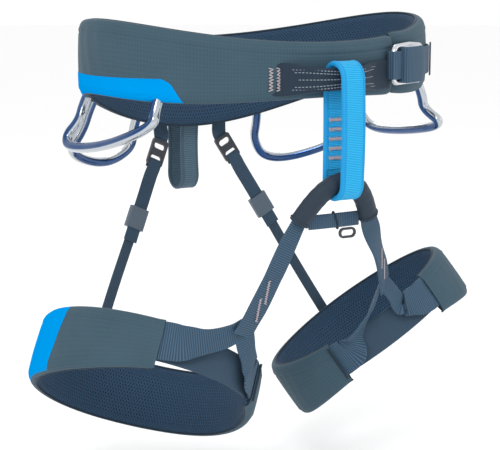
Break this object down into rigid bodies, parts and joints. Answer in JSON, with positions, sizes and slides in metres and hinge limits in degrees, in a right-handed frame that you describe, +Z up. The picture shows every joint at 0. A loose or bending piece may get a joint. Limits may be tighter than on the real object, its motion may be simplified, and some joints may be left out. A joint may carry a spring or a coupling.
{
  "type": "climbing harness",
  "caption": "Padded sport climbing harness as worn: waist belt with front buckle, belay loop, bridge and leg loops, rear risers, side gear loops and haul loop.",
  "frame": {"origin": "centre of the waist opening, at the belt's middle height", "axes": "+Z up when worn, +X to the wearer's left, -Y to the front, where the belay loop is"},
  "size_m": [0.3952, 0.2645, 0.336],
  "materials": {
    "shell_fabric": "ripstop nylon, slate green-grey, fine grid, low sheen",
    "foam": "closed-cell foam, sealed between shell and lining",
    "lining_mesh": "perforated spacer mesh, navy",
    "binding": "rolled edge binding, matt",
    "accent_fabric": "coated fabric, azure, smooth",
    "webbing": "ribbed nylon webbing, dark slate blue",
    "sleeve_fabric": "tubular woven sleeve, near black",
    "elastic": "knitted elastic, dark",
    "thread": "bar-tack thread, pale pinkish grey",
    "belay_webbing": "dense azure webbing with raised edges",
    "buckle_metal": "satin forged metal, bright edges",
    "black_plastic": "moulded acetal, satin black",
    "gear_tube": "glossy silver tube with blue stripes"
  },
  "bodies": {
    "waist_belt": {"belt_foam": "foam", "belt_shell": "shell_fabric", "belt_lining": "lining_mesh", "belt_top_binding": "binding", "belt_bottom_binding": "binding", "belt_underlap": "lining_mesh", "hip_panel_right": "accent_fabric", "hip_panel_left": "accent_fabric", "tie_in_strap": "webbing", "tie_in_bar_tacks": "thread", "buckle_strap": "webbing", "waist_strap_tail": "webbing", "buckle_frame": "buckle_metal", "riser_tab_right": "webbing", "riser_tab_left": "webbing"},
    "belay": {"belay_loop": "belay_webbing", "belay_bar_tacks": "thread"},
    "bridge": {"bridge_sleeve": "sleeve_fabric", "bridge_webbing": "webbing", "cross_strap": "webbing", "cross_strap_wrap": "elastic"},
    "stow_ring": {"stow_ring": "black_plastic"},
    "haul": {"haul_loop": "webbing"},
    "slider": {"buckle_slider": "buckle_metal"},
    "keeper": {"tail_keeper": "elastic"},
    "leg_right": {"leg_foam_right": "foam", "leg_shell_right": "shell_fabric", "leg_lining_right": "lining_mesh", "leg_accent_right": "accent_fabric", "leg_ring_strap_right": "webbing", "leg_front_strap_right": "webbing", "leg_outer_branch_right": "webbing", "leg_inner_branch_right": "webbing", "leg_piping_right": "binding", "leg_bar_tacks_right": "thread", "leg_riser_patch_right": "webbing"},
    "riser_right": {"riser_buckle_right": "black_plastic", "riser_strap_right": "webbing", "riser_elastic_right": "elastic"},
    "adjuster_right": {"riser_adjuster_right": "black_plastic"},
    "leg_left": {"leg_foam_left": "foam", "leg_shell_left": "shell_fabric", "leg_lining_left": "lining_mesh", "leg_accent_left": "accent_fabric", "leg_ring_strap_left": "webbing", "leg_front_strap_left": "webbing", "leg_outer_branch_left": "webbing", "leg_inner_branch_left": "webbing", "leg_piping_left": "binding", "leg_bar_tacks_left": "thread", "leg_riser_patch_left": "webbing"},
    "riser_left": {"riser_buckle_left": "black_plastic", "riser_strap_left": "webbing", "riser_elastic_left": "elastic"},
    "adjuster_left": {"riser_adjuster_left": "black_plastic"},
    "gear_right_rear": {"gear_loop_right_rear": "gear_tube"},
    "gear_left_rear": {"gear_loop_left_rear": "gear_tube"},
    "gear_right_front": {"gear_loop_right_front": "gear_tube"},
    "gear_left_front": {"gear_loop_left_front": "gear_tube"}
  },
  "joints": [
    {"name": "belay_swing", "type": "hinge", "parent": "waist_belt", "child": "belay", "pos_m": [0, -0.1192, -0.004], "axis": [-1, 0, 0], "range_deg": [0, 30]},
    {"name": "leg_lift", "type": "hinge", "parent": "belay", "child": "bridge", "pos_m": [0, -0.1192, -0.079], "axis": [1, 0, 0], "range_deg": [0, 30]},
    {"name": "leg_spread_right", "type": "hinge", "parent": "bridge", "child": "leg_right", "pos_m": [-0.031, -0.108, -0.108], "axis": [-0.3301, 0.756, -0.5653], "range_deg": [0, 15]},
    {"name": "leg_spread_left", "type": "hinge", "parent": "bridge", "child": "leg_left", "pos_m": [0.031, -0.108, -0.108], "axis": [-0.3782, -0.7468, 0.547], "range_deg": [0, 15]},
    {"name": "riser_swing_right", "type": "hinge", "parent": "waist_belt", "child": "riser_right", "pos_m": [-0.0285, 0.105, -0.068], "axis": [1, 0, 0], "range_deg": [-13, 0]},
    {"name": "adjuster_slide_right", "type": "slide", "parent": "riser_right", "child": "adjuster_right", "axis": [-0.4192, -0.139, -0.8972], "range_m": [-0.03, 0.01]},
    {"name": "riser_swing_left", "type": "hinge", "parent": "waist_belt", "child": "riser_left", "pos_m": [0.0285, 0.105, -0.068], "axis": [1, 0, 0], "range_deg": [-13, 0]},
    {"name": "adjuster_slide_left", "type": "slide", "parent": "riser_left", "child": "adjuster_left", "axis": [0.4666, -0.1987, -0.8618], "range_m": [-0.03, 0.01]},
    {"name": "haul_swing", "type": "hinge", "parent": "waist_belt", "child": "haul", "pos_m": [0, 0.1065, -0.04], "axis": [1, 0, 0], "range_deg": [0, 70]},
    {"name": "gear_flex_right_rear", "type": "hinge", "parent": "waist_belt", "child": "gear_right_rear", "pos_m": [-0.1155, 0.063, -0.035], "axis": [0.8147, 0.4821, -0.3224], "range_deg": [-10, 40], "stiffness_Nm_per_rad": 0.3},
    {"name": "gear_flex_left_rear", "type": "hinge", "parent": "waist_belt", "child": "gear_left_rear", "pos_m": [0.1155, 0.063, -0.035], "axis": [0.8147, -0.4821, 0.3224], "range_deg": [-10, 40], "stiffness_Nm_per_rad": 0.3},
    {"name": "gear_flex_right_front", "type": "hinge", "parent": "waist_belt", "child": "gear_right_front", "pos_m": [-0.1265, 0.05, -0.03], "axis": [-0.0556, 0.9978, -0.0371], "range_deg": [-10, 40], "stiffness_Nm_per_rad": 0.3},
    {"name": "gear_flex_left_front", "type": "hinge", "parent": "waist_belt", "child": "gear_left_front", "pos_m": [0.1265, 0.05, -0.03], "axis": [-0.0556, -0.9978, 0.0371], "range_deg": [-10, 40], "stiffness_Nm_per_rad": 0.3},
    {"name": "slider_tilt", "type": "hinge", "parent": "waist_belt", "child": "slider", "pos_m": [0.06319, -0.10585, 0.003], "axis": [0, 0, -1], "range_deg": [0, 35]},
    {"name": "keeper_slide", "type": "hinge", "parent": "waist_belt", "child": "keeper", "pos_m": [0.04201, 0.01244, 0.003], "axis": [0, 0, 1], "range_deg": [-4, 4]},
    {"name": "stow_ring_swing", "type": "hinge", "parent": "bridge", "child": "stow_ring", "pos_m": [0.0122, -0.108, -0.116], "axis": [1, 0, 0], "range_deg": [-60, 60]}
  ],
  "couplings": [
    {"joint": "belay_swing", "follows": "leg_lift", "ratio": 0.96},
    {"joint": "riser_swing_right", "follows": "leg_lift", "ratio": -0.4},
    {"joint": "riser_swing_left", "follows": "leg_lift", "ratio": -0.4}
  ]
}
